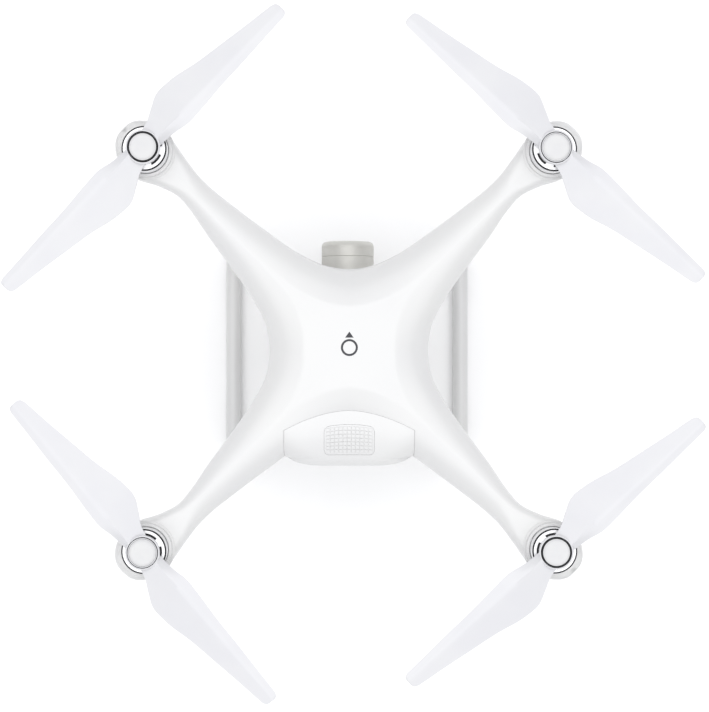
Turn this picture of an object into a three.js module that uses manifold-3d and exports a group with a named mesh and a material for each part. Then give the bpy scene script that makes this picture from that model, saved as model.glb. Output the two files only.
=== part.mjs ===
// A camera quadcopter: X-shaped hollow shell, four brushless motors with two-blade propellers,
// a three-axis gimbal camera under the nose, a slide-in battery at the tail and two landing skids.
// Millimetres. +Z is up, the ground is z = 0, the nose points to -Y and the left side is +X.

import * as THREE from 'three';
import { mergeVertices } from 'three/addons/utils/BufferGeometryUtils.js';
import Module from 'manifold-3d';

const wasm = await Module();
wasm.setup();

// ---------------------------------------------------------------- driving dimensions

const GAP = 0.3; // clearance between pieces that touch
const MOTOR_X = 125; // half of the track between left and right motors
const MOTOR_Y = 122.5; // half of the wheelbase between front and rear motors
const MOTOR_REACH = Math.hypot(MOTOR_X, MOTOR_Y);

const SHELL_WALL = 2.2;
const POD_TOP_Z = 166; // flat top of each arm end, under the motor
const COLLAR = { inner: 14.6, outer: 16, low: 159, high: 170.5 }; // ring wall around each motor's foot
const LOCK_TOP_Z = 196; // highest point of the craft

const BELL_R = 13.7;
const BLADE_Z = 190.5; // middle of the blades at the hub
const BLADE_TIP = 119;

const SKID_X = 78.3;
const SKID_R = 5.2;
const PAD_H = 1.4;

const BATTERY = { halfWidth: 31, front: -36, low: 117, high: 155 };
const CAP = { front: 37.2, shoulder: 49.5, rear: 72.2, halfWidth: 40.4, low: 117, high: 166 };
const BAY_WALL = 1.8;

const CAMERA = { r: 17.4, y: -50, z: 58, front: -73.2, back: -36, shroud: 10 };
const YAW_Y = -24; // vertical axis of the gimbal's yaw motor
const GIMBAL_MOTOR_R = 10.5;

const FINISH = {
  shell: { color: 0xf4f4f7, roughness: 0.25, metalness: 0 },
  propeller: { color: 0xeeeef0, roughness: 0.4, metalness: 0 },
  dark_plastic: { color: 0x2a2b2e, roughness: 0.5, metalness: 0 },
  motor_metal: { color: 0xc9cacc, roughness: 0.35, metalness: 1 },
  lock_black: { color: 0x1d1d20, roughness: 0.4, metalness: 0 },
  lock_silver: { color: 0xa9aaae, roughness: 0.35, metalness: 1 },
  camera_grey: { color: 0xc6c7c5, roughness: 0.4, metalness: 1 },
  lens_glass: { color: 0x10131c, roughness: 0.05, metalness: 0 },
  rubber: { color: 0x3a3a3c, roughness: 0.9, metalness: 0 },
  board: { color: 0x1e4a33, roughness: 0.6, metalness: 0 },
  cell_wrap: { color: 0x35445e, roughness: 0.5, metalness: 0 },
  core_metal: { color: 0x8f9194, roughness: 0.5, metalness: 1 },
  red_light: { color: 0xd23a3a, roughness: 0.2, metalness: 0 },
  green_light: { color: 0x49c06a, roughness: 0.2, metalness: 0 },
};

// ---------------------------------------------------------------- solids and pieces

function solidOf(geometry) {
  const bare = geometry.clone();
  bare.deleteAttribute('normal');
  bare.deleteAttribute('uv');
  const merged = mergeVertices(bare, 1e-4);
  return new wasm.Manifold(new wasm.Mesh({
    numProp: 3,
    vertProperties: new Float32Array(merged.attributes.position.array),
    triVerts: new Uint32Array(merged.index.array),
  }));
}

function geometryOf(solid) {
  const mesh = solid.getMesh();
  const geometry = new THREE.BufferGeometry();
  geometry.setAttribute('position', new THREE.BufferAttribute(mesh.vertProperties, 3));
  geometry.setIndex(new THREE.BufferAttribute(mesh.triVerts, 1));
  geometry.computeVertexNormals();
  return geometry;
}

const cut = (geometry, ...cutters) => geometryOf(
  cutters.reduce((solid, cutter) => solid.subtract(solidOf(cutter)), solidOf(geometry)));

const join = (geometry, ...others) => geometryOf(
  others.reduce((solid, other) => solid.add(solidOf(other)), solidOf(geometry)));

// A box given by its low and high corners.
function box(low, high) {
  const size = high.map((v, i) => v - low[i]);
  const centre = high.map((v, i) => (v + low[i]) / 2);
  return new THREE.BoxGeometry(...size).translate(...centre);
}

// A round bar along an axis, from one coordinate on that axis to another.
function bar(axis, r, from, to, centre, segments = 20) {
  const geometry = new THREE.CylinderGeometry(r, r, to - from, segments);
  const along = (from + to) / 2;
  if (axis === 'x') return geometry.rotateZ(Math.PI / 2).translate(along, centre[0], centre[1]);
  if (axis === 'y') return geometry.translate(centre[0], along, centre[1]);
  return geometry.rotateX(Math.PI / 2).translate(centre[0], centre[1], along);
}

// A turned piece about the z axis, from [radius, z] pairs of a closed section.
function turned(section, segments = 16) {
  const points = section.map(([r, z]) => new THREE.Vector2(r, z));
  if (section[0][0] > 0) points.push(points[0].clone());
  return new THREE.LatheGeometry(points, segments).rotateX(Math.PI / 2);
}

// A flat plate with rounded corners: plan centre and size, from one height to another.
function roundedPlate([cx, cy], [width, depth], radius, low, high) {
  const w = width / 2;
  const d = depth / 2;
  const shape = new THREE.Shape();
  shape.moveTo(cx - w + radius, cy - d);
  shape.lineTo(cx + w - radius, cy - d);
  shape.quadraticCurveTo(cx + w, cy - d, cx + w, cy - d + radius);
  shape.lineTo(cx + w, cy + d - radius);
  shape.quadraticCurveTo(cx + w, cy + d, cx + w - radius, cy + d);
  shape.lineTo(cx - w + radius, cy + d);
  shape.quadraticCurveTo(cx - w, cy + d, cx - w, cy + d - radius);
  shape.lineTo(cx - w, cy - d + radius);
  shape.quadraticCurveTo(cx - w, cy - d, cx - w + radius, cy - d);
  const options = { depth: high - low, bevelEnabled: false, curveSegments: 4 };
  return new THREE.ExtrudeGeometry(shape, options).translate(0, 0, low);
}

const craft = new THREE.Group();

function piece(name, geometry, finish, position = [0, 0, 0]) {
  const mesh = new THREE.Mesh(geometry, new THREE.MeshStandardMaterial(FINISH[finish]));
  mesh.name = name;
  mesh.position.set(...position);
  craft.add(mesh);
}

const SIDES = [['left', 1], ['right', -1]];
const ENDS = [['front', -1], ['rear', 1]];
const CORNERS = ENDS.flatMap(
  ([end, y]) => SIDES.map(([side, x]) => ({ name: `${end}_${side}`, x, y })));

// ---------------------------------------------------------------- shell

// Stations along one arm, from the body's centre to the arm's tip. `edge` and `ridge` are
// distances along the line to the motor of the outline and of the arm's crown, `fore` and
// `side` are the outline's distances from that line on the nose or tail side and on the flank,
// and the heights are those of the crown, the seam and the keel.
const STATIONS = [
  { edge: 35.0, ridge: 0.0, fore: 36.4, side: 35.6, crown: 175.0, seam: 140.0, keel: 99.0 },
  { edge: 48.0, ridge: 22.0, fore: 27.3, side: 25.3, crown: 174.6, seam: 140.5, keel: 100.0 },
  { edge: 64.0, ridge: 48.0, fore: 21.6, side: 19.7, crown: 172.5, seam: 142.0, keel: 110.0 },
  { edge: 88.0, ridge: 80.0, fore: 17.4, side: 14.8, crown: 169.8, seam: 145.0, keel: 125.0 },
  { edge: 113.0, ridge: 110.0, fore: 14.0, side: 10.7, crown: 167.8, seam: 148.5, keel: 135.0 },
  { edge: 134.0, ridge: 133.0, fore: 11.9, side: 6.6, crown: 166.6, seam: 151.5, keel: 141.0 },
  { edge: 142.0, ridge: 142.0, fore: 11.9, side: 6.0, crown: 166.4, seam: 152.5, keel: 142.5 },
  { edge: 156.0, ridge: 156.0, fore: 13.9, side: 10.0, crown: 166.2, seam: 154.0, keel: 144.0 },
  { edge: 169.0, ridge: 167.0, fore: 16.4, side: 16.4, crown: POD_TOP_Z, seam: 155.0, keel: 145.0 },
  { edge: 178.0, ridge: 176.0, fore: 17.8, side: 17.8, crown: POD_TOP_Z, seam: 155.5, keel: 145.5 },
  { edge: 187.5, ridge: 185.5, fore: 15.0, side: 15.0, crown: POD_TOP_Z, seam: 156.0, keel: 147.0 },
  { edge: 194.0, ridge: 192.0, fore: 9.0, side: 9.0, crown: 165.5, seam: 156.5, keel: 150.0 },
  { edge: 196.7, ridge: 196.7, fore: 0.0, side: 0.0, crown: 157.7, seam: 157.5, keel: 157.1 },
];
const STEPS = STATIONS.length - 1;
const CROWN_Z = STATIONS[0].crown;

// Plan point in the quarter with x and y positive, from distances along and off the motor line.
function planPoint(along, off) {
  const [dx, dy] = [MOTOR_X / MOTOR_REACH, MOTOR_Y / MOTOR_REACH];
  return new THREE.Vector2(along * dx - off * dy, along * dy + off * dx);
}

// The outline point of a station, moved inwards by `inset`.
function edgePoint(station, flank, inset) {
  const { edge, fore, side } = STATIONS[station];
  const sign = flank ? -1 : 1;
  const before = STATIONS[Math.max(station - 1, 0)];
  const after = STATIONS[Math.min(station + 1, STEPS)];
  const width = (row) => (flank ? row.side : row.fore);
  const run = after.edge - before.edge;
  const rise = width(after) - width(before);
  const length = Math.hypot(run, rise);
  if (station === STEPS) return planPoint(edge - inset, 0);
  const off = (flank ? side : fore) - (inset * run) / length;
  const point = planPoint(edge + (inset * rise) / length, sign * off);
  if (station > 0) return point;
  return flank ? new THREE.Vector2(point.x, 0) : new THREE.Vector2(0, point.y);
}

// Powers of the section curves: the body's upper and lower faces, the arms and the pods.
const TOP_SHOULDER = 2.6;
const BELLY_SHOULDER = 4;
const ARM_SHOULDER = 2.4;
const POD_SHOULDER = 12;
const BODY_ROOT = 1.45;

// Share of the full height left at a share `s` of the way from the crown line to the outline:
// flat over the body's middle with a firm shoulder, rounder along the arms, flat on the pods.
function fullness(station, s, shoulder) {
  const arm = Math.min(station / 4, 1);
  const pod = station > 6;
  const power = pod ? POD_SHOULDER : THREE.MathUtils.lerp(shoulder, ARM_SHOULDER, arm);
  const root = THREE.MathUtils.lerp(BODY_ROOT, 2, arm);
  return (1 - s ** power) ** (1 / root);
}

// One half of the shell: a square plate whose corners are pulled out into the arms. The plate's
// two faces become the outer and the inner skin, or a flat seam face when the wall is `solid`.
function shellHalf({ top, outset = 0, solid = false }) {
  const plate = new THREE.BoxGeometry(2, 2, 1, 2 * STEPS, 2 * STEPS, 1);
  const position = plate.attributes.position;
  const cell = (v) => Math.round(Math.abs(v) * STEPS);
  for (let n = 0; n < position.count; n += 1) {
    const [a, b] = [position.getX(n), position.getY(n)];
    const outer = (position.getZ(n) > 0) === top;
    const inset = outer ? -outset : SHELL_WALL;
    const flank = Math.abs(a) > Math.abs(b) + 1e-6;
    const station = Math.min(cell(a), cell(b));
    const s = station === STEPS ? 0 : (Math.max(cell(a), cell(b)) - station) / (STEPS - station);
    const { ridge, crown, seam, keel } = STATIONS[station];
    const reach = station === STEPS ? ridge - inset : ridge;
    const rim = edgePoint(station, flank, solid && !outer ? -outset : inset);
    const plan = planPoint(reach, 0).lerp(rim, s);
    const height = Math.max(Math.abs((top ? crown : keel) - seam) - inset, 0.2);
    const shoulder = top ? TOP_SHOULDER : BELLY_SHOULDER;
    const full = solid && !outer ? 0 : height * fullness(station, s, shoulder);
    const rise = station === STEPS ? 0 : full;
    const seamZ = seam + (top ? GAP / 2 : -GAP / 2);
    position.setXYZ(n, Math.sign(a) * plan.x, Math.sign(b) * plan.y, seamZ + (top ? rise : -rise));
  }
  return plate;
}

// The room that the battery's end needs in the shell, open to the rear so that it slides out.
function capRoom() {
  const clear = 0.6;
  const [w, front, rear] = [CAP.halfWidth + clear, CAP.front - clear, CAP.rear + 20];
  const shape = new THREE.Shape();
  shape.moveTo(0, front);
  shape.quadraticCurveTo(w * 0.6, front, w, CAP.shoulder - clear);
  shape.lineTo(w, rear);
  shape.lineTo(-w, rear);
  shape.lineTo(-w, CAP.shoulder - clear);
  shape.quadraticCurveTo(-w * 0.6, front, 0, front);
  const low = CAP.low - clear;
  const options = { depth: CROWN_Z - low + 10, bevelEnabled: false, curveSegments: 6 };
  return new THREE.ExtrudeGeometry(shape, options).translate(0, 0, low);
}

const VISION_LENS = { x: 19, z: 124, r: 6.5, front: -50.5, back: -38 };
const ARM_LIGHT = { r: 7.5, low: 144.4, high: 148 };

function topShell() {
  const { inner, outer, low, high } = COLLAR;
  const ring = turned([[inner, low], [outer, low], [outer, high], [inner, high]]);
  const collars = CORNERS.map(({ x, y }) => ring.clone().translate(x * MOTOR_X, y * MOTOR_Y, 0));
  return cut(join(shellHalf({ top: true }), ...collars), capRoom());
}

function bottomShell() {
  const holes = [capRoom()];
  for (const [, x] of SIDES) {
    const { r, front, back, z } = VISION_LENS;
    holes.push(bar('y', r + GAP, front - 10, back, [x * VISION_LENS.x, z], 16));
  }
  for (const { x, y } of CORNERS) {
    const { r, low, high } = ARM_LIGHT;
    holes.push(bar('z', r + GAP, low - 8, high + 4, [x * MOTOR_X, y * MOTOR_Y], 16));
  }
  return cut(shellHalf({ top: false }), ...holes);
}

piece('top_shell', topShell(), 'shell');
piece('bottom_shell', bottomShell(), 'shell');

for (const [side, x] of SIDES) {
  const { r, front, back, z } = VISION_LENS;
  const lens = bar('y', r, front, back, [0, z], 16);
  piece(`front_vision_lens_${side}`, lens, 'lens_glass', [x * VISION_LENS.x, 0, 0]);
}
for (const { name, x, y } of CORNERS) {
  const light = bar('z', ARM_LIGHT.r, ARM_LIGHT.low, ARM_LIGHT.high, [0, 0], 16);
  const colour = y < 0 ? 'red_light' : 'green_light';
  piece(`arm_light_${name}`, light, colour, [x * MOTOR_X, y * MOTOR_Y, 0]);
}

// ---------------------------------------------------------------- inside the body

const BAY = {
  front: -38, rear: 36,
  halfWidth: BATTERY.halfWidth + 0.5, low: BATTERY.low - 0.5, high: BATTERY.high + 0.5,
};

piece('battery_bay', cut(
  box(
    [-BAY.halfWidth - BAY_WALL, BAY.front, BAY.low - BAY_WALL],
    [BAY.halfWidth + BAY_WALL, BAY.rear, BAY.high + BAY_WALL],
  ),
  box([-BAY.halfWidth, BAY.front - 1, BAY.low], [BAY.halfWidth, BAY.rear + 1, BAY.high]),
), 'dark_plastic');
piece('battery_connector', box([-13, -43, 129], [13, BAY.front - GAP, 143]), 'dark_plastic');
piece('main_board', roundedPlate([0, -3], [50, 54], 3, 158.5, 160.1), 'board');
piece('satellite_module', roundedPlate([0, -3], [26, 26], 2, 162, 166), 'dark_plastic');
piece('core_frame', cut(
  roundedPlate([0, 0], [44, 60], 8, 108, 111),
  roundedPlate([0, 0], [24, 40], 6, 104, 115),
), 'core_metal');

// ---------------------------------------------------------------- motors and propellers

const STATOR = { base: POD_TOP_Z + 0.5, flange: 168, foot: 14.1, core: 11.1, top: 182.6, bore: 2.4 };
const BELL = { foot: 169.5, open: 168.7, ceiling: 183.2, top: 186, wall: 1.6, shaft: 2 };
const LOCK = { low: 186.3, r: 9.1, high: LOCK_TOP_Z };
const HUB = { low: 187.6, high: 195.6, r: 10.6 };

const statorSection = [
  [STATOR.bore, STATOR.base], [STATOR.foot, STATOR.base], [STATOR.foot, STATOR.flange],
  [STATOR.core, STATOR.flange], [STATOR.core, STATOR.top], [STATOR.bore, STATOR.top],
];
const bellSection = [
  [0, BELL.foot], [BELL.shaft, BELL.foot], [BELL.shaft, BELL.ceiling], [BELL_R - BELL.wall, BELL.ceiling],
  [BELL_R - BELL.wall, BELL.open], [BELL_R, BELL.open], [BELL_R, BELL.top - 1.5], [BELL_R - 1.5, BELL.top],
  [0, BELL.top],
];
const lockSection = [
  [0, LOCK.low], [LOCK.r, LOCK.low], [LOCK.r, LOCK.high - 1.2], [LOCK.r - 1.2, LOCK.high], [0, LOCK.high],
];

// Stations along one blade: distance from the hub's axis, trailing and leading edge, thickness.
const BLADE = [
  [0, 8, -6.5, 5], [12, 9, -6.8, 4.6], [20, 13, -7.7, 3.8], [29, 17.2, -9.7, 3.2],
  [40, 17, -9.6, 2.8], [60, 12.5, -8.4, 2.4], [80, 9.1, -8, 2], [100, 5.8, -7.3, 1.6],
  [117, 3.2, -6.7, 1.2], [BLADE_TIP, 1.2, -5.2, 1.1],
];

const ROOT_PITCH = 15; // degrees
const TIP_PITCH = 6;
const ROOT_HALF = 7; // half the chord on the hub's axis

// Two blades as one plate, bent to the blade's edges and twisted; `turn` is 1 for a propeller
// that turns clockwise seen from above and -1 for the other hand.
function propellerGeometry(turn, angle) {
  const along = BLADE.length - 1;
  const across = 3;
  const plate = new THREE.BoxGeometry(2, 2, 1, 2 * along, across, 1);
  const position = plate.attributes.position;
  for (let n = 0; n < position.count; n += 1) {
    const side = Math.sign(position.getX(n)) || 1;
    const [u, trailing, leading, thick] = BLADE[Math.round(Math.abs(position.getX(n)) * along)];
    const share = (position.getY(n) * side * turn + 1) / 2;
    const level = side * position.getY(n) * turn * ROOT_HALF;
    const chord = u === 0 ? level : THREE.MathUtils.lerp(leading, trailing, share);
    const camber = 0.55 + 0.45 * Math.sin(Math.PI * share);
    const twist = THREE.MathUtils.lerp(ROOT_PITCH, TIP_PITCH, u / BLADE_TIP) * Math.min(u / 24, 1);
    const pitch = THREE.MathUtils.degToRad(twist);
    const z = BLADE_Z - chord * Math.tan(pitch) + position.getZ(n) * thick * camber;
    position.setXYZ(n, side * u, side * chord * turn, z);
  }
  const hub = bar('z', HUB.r, HUB.low, HUB.high, [0, 0], 16);
  const bore = bar('z', LOCK.r + 0.5, HUB.low - 1, HUB.high + 1, [0, 0], 16);
  return cut(join(plate, hub), bore).rotateZ(THREE.MathUtils.degToRad(angle));
}

// Resting angle of each propeller from +X, its hand, and the finish of its lock ring.
const ROTORS = {
  front_left: { angle: 46.4, turn: 1, lock: 'lock_black' },
  front_right: { angle: 137.3, turn: -1, lock: 'lock_silver' },
  rear_left: { angle: 130, turn: -1, lock: 'lock_silver' },
  rear_right: { angle: 42.5, turn: 1, lock: 'lock_black' },
};

for (const { name, x, y } of CORNERS) {
  const { angle, turn, lock } = ROTORS[name];
  const at = [x * MOTOR_X, y * MOTOR_Y, 0];
  piece(`motor_stator_${name}`, turned(statorSection), 'motor_metal', at);
  piece(`motor_bell_${name}`, turned(bellSection), 'motor_metal', at);
  piece(`propeller_lock_${name}`, turned(lockSection, 16), lock, at);
  piece(`propeller_${name}`, propellerGeometry(turn, angle), 'propeller', at);
}

// ---------------------------------------------------------------- battery

const LATCH = { halfWidth: 15.5, front: 45.8, rear: 64.8, thick: 3.4, travel: 1.5 };
const BUTTON = { r: 6, z: 141, out: 0.2, deep: 6 };
const CAP_FACE = CAP.rear - 0.4; // the flat rear face
const RING = { inner: 7.2, outer: 9.6, thick: 1.8 };

// The battery's exposed end: a lens-shaped block with rounded upper and lower rims.
function capBody() {
  const rim = 4;
  const [w, front, rear] = [CAP.halfWidth - rim, CAP.front + rim, CAP.rear - rim];
  const shape = new THREE.Shape();
  shape.moveTo(0, front);
  shape.quadraticCurveTo(w * 0.6, front, w, CAP.shoulder + rim);
  shape.lineTo(w, rear - 7);
  shape.quadraticCurveTo(w * 0.85, rear - 1, w * 0.5, rear - 0.4);
  shape.lineTo(-w * 0.5, rear - 0.4);
  shape.quadraticCurveTo(-w * 0.85, rear - 1, -w, rear - 7);
  shape.lineTo(-w, CAP.shoulder + rim);
  shape.quadraticCurveTo(-w * 0.6, front, 0, front);
  const options = {
    depth: CAP.high - CAP.low - 2 * rim,
    bevelEnabled: true,
    bevelThickness: rim,
    bevelSize: rim,
    bevelSegments: 2,
    curveSegments: 5,
  };
  return new THREE.ExtrudeGeometry(shape, options).translate(0, 0, CAP.low + rim);
}

function latchPad(grow, low, high) {
  const depth = LATCH.rear - LATCH.front;
  const centre = [0, (LATCH.rear + LATCH.front) / 2];
  return roundedPlate(centre, [2 * (LATCH.halfWidth + grow), depth + 2 * grow], 3 + grow, low, high);
}

function batteryCase() {
  const { halfWidth, front, low, high } = BATTERY;
  const pocketTop = LATCH.thick + LATCH.travel;
  return cut(
    join(capBody(), box([-halfWidth, front, low], [halfWidth, CAP.front + 12, high])),
    box([-halfWidth + 2, front - 1, low + 2], [halfWidth - 2, 41, high - 2]),
    latchPad(GAP, CAP.high - pocketTop + 0.5, CAP.high + 1),
    latchPad(GAP, CAP.low - 1, CAP.low + pocketTop - 0.5),
    bar('y', BUTTON.r + GAP, CAP_FACE - BUTTON.deep - 2, CAP.rear + 2, [0, BUTTON.z]),
    bar('y', RING.outer + GAP, CAP_FACE - RING.thick - GAP, CAP.rear + 2, [0, BUTTON.z]),
  );
}

piece('battery_case', batteryCase(), 'shell');
piece('battery_cells', box(
  [-BATTERY.halfWidth + 2.5, BATTERY.front + 3, BATTERY.low + 2.5],
  [BATTERY.halfWidth - 2.5, 40.5, BATTERY.high - 2.5],
), 'cell_wrap');
piece('battery_latch_top', latchPad(0, CAP.high + 0.5 - LATCH.thick, CAP.high + 0.5), 'shell');
piece('battery_latch_bottom', latchPad(0, CAP.low - 0.5, CAP.low - 0.5 + LATCH.thick), 'shell');
piece('battery_button', bar(
  'y', BUTTON.r, CAP_FACE - BUTTON.deep, CAP_FACE + BUTTON.out, [0, BUTTON.z]), 'core_metal');
piece('charge_light_ring', cut(
  bar('y', RING.outer, CAP_FACE - RING.thick, CAP_FACE, [0, BUTTON.z]),
  bar('y', RING.inner, CAP.rear - 9, CAP.rear + 9, [0, BUTTON.z]),
), 'green_light');

// ---------------------------------------------------------------- landing gear

// One leg, the skid and the other leg as one bent tube; the leg ends are trimmed to the belly.
const LEG_TOP = { x: 43, y: 42.5, z: 121 };
const LEG_FOOT = { x: 76.5, y: 68, z: 17 };
const SKID_Z = PAD_H + GAP + SKID_R;

function landingGear(x) {
  const route = new THREE.CatmullRomCurve3([
    [LEG_TOP.x, -LEG_TOP.y, LEG_TOP.z], [60, -56, 66], [LEG_FOOT.x, -LEG_FOOT.y, LEG_FOOT.z],
    [SKID_X, -61, SKID_Z + 0.8], [SKID_X, -50, SKID_Z], [SKID_X, 0, SKID_Z], [SKID_X, 50, SKID_Z],
    [SKID_X, 61, SKID_Z + 0.8], [LEG_FOOT.x, LEG_FOOT.y, LEG_FOOT.z], [60, 56, 66],
    [LEG_TOP.x, LEG_TOP.y, LEG_TOP.z],
  ].map(([px, py, pz]) => new THREE.Vector3(x * px, py, pz)), false, 'centripetal');
  const section = new THREE.Shape();
  section.absarc(0, 0, SKID_R, 0, 2 * Math.PI);
  const tube = new THREE.ExtrudeGeometry(section, { steps: 36, curveSegments: 4, extrudePath: route });
  return cut(tube, shellHalf({ top: false, outset: GAP + 0.2, solid: true }));
}

for (const [side, x] of SIDES) piece(`landing_gear_${side}`, landingGear(x), 'shell');
for (const { name, x, y } of CORNERS) {
  const pad = roundedPlate([0, 0], [7, 16], 2, 0, PAD_H);
  piece(`landing_pad_${name}`, pad, 'rubber', [x * SKID_X, y * 42, 0]);
}

// ---------------------------------------------------------------- belly sensors

const SENSOR_PLATE = { centre: [0, 22], size: [46, 42], low: 95.2, high: 98 };
piece('downward_sensor_plate', roundedPlate(
  SENSOR_PLATE.centre, SENSOR_PLATE.size, 6, SENSOR_PLATE.low, SENSOR_PLATE.high), 'dark_plastic');
for (const [side, x] of SIDES) {
  const under = SENSOR_PLATE.low - GAP;
  const lens = bar('z', 4.6, under - 1.6, under, [0, 0], 16);
  const sounder = bar('z', 6, under - 2.4, under, [0, 0], 20);
  piece(`downward_lens_${side}`, lens, 'lens_glass', [x * 13, 12, 0]);
  piece(`ultrasonic_sensor_${side}`, sounder, 'core_metal', [x * 10, 32, 0]);
}

// ---------------------------------------------------------------- gimbal and camera

const BOARD = { low: 96.2, high: 98 };
const PLATE = { low: 86.4, high: 88.2 };
const PLATE_CENTRE = [0, -25];
const gimbalPlate = ({ low, high }) => roundedPlate(PLATE_CENTRE, [50, 36], 5, low, high);
piece('gimbal_mount_board', gimbalPlate(BOARD), 'dark_plastic');
piece('gimbal_plate', gimbalPlate(PLATE), 'camera_grey');
for (const [end, y] of ENDS) {
  for (const [side, x] of SIDES) {
    const [low, high] = [PLATE.high + GAP, BOARD.low - GAP];
    const waist = (low + high) / 2;
    const section = [[0, low], [3.4, low], [4.6, waist], [3.4, high], [0, high]];
    const at = [x * 20, PLATE_CENTRE[1] + y * 12, 0];
    piece(`gimbal_damper_${end}_${side}`, turned(section, 12), 'rubber', at);
  }
}

const YAW_MOTOR = { low: 79.2, high: PLATE.low - GAP, r: 11.5 };
const ARM = { low: 75.9, high: YAW_MOTOR.low - GAP, front: -33, post: -11.7, rear: -5.5, halfWidth: 7 };
const ROLL_MOTOR = { front: -24.2, rear: ARM.post - GAP };
const ROLL_ARM = { rear: ROLL_MOTOR.front - GAP, thick: 2.7, half: 7, outer: 29, side: 2.6 };
const PITCH_MOTOR = { inner: CAMERA.r + 0.7, outer: ROLL_ARM.outer - ROLL_ARM.side - GAP, r: 7.5 };

piece('gimbal_yaw_motor', bar(
  'z', YAW_MOTOR.r, YAW_MOTOR.low, YAW_MOTOR.high, [0, YAW_Y]), 'camera_grey');
piece('gimbal_yaw_arm', join(
  roundedPlate(
    [0, (ARM.front + ARM.rear) / 2], [2 * ARM.halfWidth, ARM.rear - ARM.front], 4, ARM.low, ARM.high),
  box([-ARM.halfWidth, ARM.post, CAMERA.z - 9], [ARM.halfWidth, ARM.rear, ARM.high - 0.5]),
), 'camera_grey');
piece('gimbal_roll_motor', bar(
  'y', GIMBAL_MOTOR_R, ROLL_MOTOR.front, ROLL_MOTOR.rear, [0, CAMERA.z]), 'camera_grey');
piece('gimbal_roll_arm', join(
  box(
    [-9, ROLL_ARM.rear - ROLL_ARM.thick, CAMERA.z - ROLL_ARM.half],
    [ROLL_ARM.outer, ROLL_ARM.rear, CAMERA.z + ROLL_ARM.half],
  ),
  box(
    [ROLL_ARM.outer - ROLL_ARM.side, CAMERA.y, CAMERA.z - ROLL_ARM.half],
    [ROLL_ARM.outer, ROLL_ARM.rear - 0.5, CAMERA.z + ROLL_ARM.half],
  ),
  bar('x', PITCH_MOTOR.r + 0.8, ROLL_ARM.outer - ROLL_ARM.side, ROLL_ARM.outer, [CAMERA.y, CAMERA.z]),
), 'camera_grey');
piece('gimbal_pitch_motor', bar(
  'x', PITCH_MOTOR.r, PITCH_MOTOR.inner, PITCH_MOTOR.outer, [CAMERA.y, CAMERA.z]), 'camera_grey');

// The camera's barrel points to -Y: sections are turned about z, then laid along y.
function barrel(section, segments = 20) {
  return turned(section, segments).rotateX(Math.PI / 2).translate(0, 0, CAMERA.z);
}
const shroudBack = -CAMERA.front - CAMERA.shroud;
piece('camera_body', barrel([
  [0, -CAMERA.back], [CAMERA.r - 3, -CAMERA.back], [CAMERA.r, -CAMERA.back + 3],
  [CAMERA.r, shroudBack - GAP], [0, shroudBack - GAP],
]), 'camera_grey');
piece('camera_lens_shroud', barrel([
  [0, shroudBack], [CAMERA.r, shroudBack], [CAMERA.r, -CAMERA.front - 2.4], [CAMERA.r - 2.4, -CAMERA.front],
  [11.5, -CAMERA.front], [11, -CAMERA.front - 4], [0, -CAMERA.front - 4],
]), 'camera_grey');
piece('camera_lens_glass', barrel([
  [0, -CAMERA.front - 4 + GAP], [10.4, -CAMERA.front - 4 + GAP], [9.4, -CAMERA.front - 2.6],
  [5, -CAMERA.front - 1.6], [0, -CAMERA.front - 1.3],
]), 'lens_glass');

export default craft;
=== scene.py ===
"""The finished look of the camera quadcopter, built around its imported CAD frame.

Shapes are worked out in millimetres and become metres when a piece is finished. +Z is up, the
ground is z = 0, the nose points to -Y and the craft's left side is +X.
"""

import math

import bmesh
import bpy
from mathutils import Matrix, Vector
from mathutils.bvhtree import BVHTree


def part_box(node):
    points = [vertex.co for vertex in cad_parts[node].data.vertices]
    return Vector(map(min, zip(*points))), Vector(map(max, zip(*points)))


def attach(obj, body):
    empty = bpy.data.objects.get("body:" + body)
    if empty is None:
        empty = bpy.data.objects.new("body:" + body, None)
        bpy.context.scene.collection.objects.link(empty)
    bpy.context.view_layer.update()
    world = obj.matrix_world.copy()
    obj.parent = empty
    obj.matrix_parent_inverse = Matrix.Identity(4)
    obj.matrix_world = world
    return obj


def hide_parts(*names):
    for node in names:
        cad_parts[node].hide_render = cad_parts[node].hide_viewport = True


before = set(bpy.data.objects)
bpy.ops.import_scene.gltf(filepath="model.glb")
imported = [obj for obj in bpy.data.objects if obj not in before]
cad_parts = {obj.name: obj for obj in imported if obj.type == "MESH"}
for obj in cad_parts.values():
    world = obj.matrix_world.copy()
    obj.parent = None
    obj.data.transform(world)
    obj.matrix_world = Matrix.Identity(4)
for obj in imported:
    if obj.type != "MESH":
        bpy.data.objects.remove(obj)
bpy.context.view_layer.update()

MM = 0.001
AIRFRAME = "airframe"
ENDS = (("front", -1), ("rear", 1))
SIDES = (("left", 1), ("right", -1))
CORNERS = [(f"{end}_{side}", x, y) for end, y in ENDS for side, x in SIDES]


def extent(node):
    """Lowest and highest corner of a CAD node, in millimetres."""
    low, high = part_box(node)
    return low / MM, high / MM


def middle(node):
    low, high = extent(node)
    return (low + high) / 2


# ---- camera, light and floor

CAMERA_AT = Vector((12.5, 11.9, 1496))
CAMERA_AIM = Vector((-2.9, 3.8, 196))
CAMERA_LENS = 108.9


def add_camera():
    """A camera straight above the craft, with the nose at the top of the picture."""
    back = (CAMERA_AT - CAMERA_AIM).normalized()
    right = Vector((0, -1, 0)).cross(back).normalized()
    data = bpy.data.cameras.new("camera_above")
    data.lens = CAMERA_LENS
    data.clip_end = 50
    camera = bpy.data.objects.new("camera_above", data)
    turn = Matrix((right, back.cross(right), back)).transposed().to_4x4()
    camera.matrix_world = Matrix.Translation(CAMERA_AT * MM) @ turn
    bpy.context.scene.collection.objects.link(camera)
    bpy.context.scene.camera = camera


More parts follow.
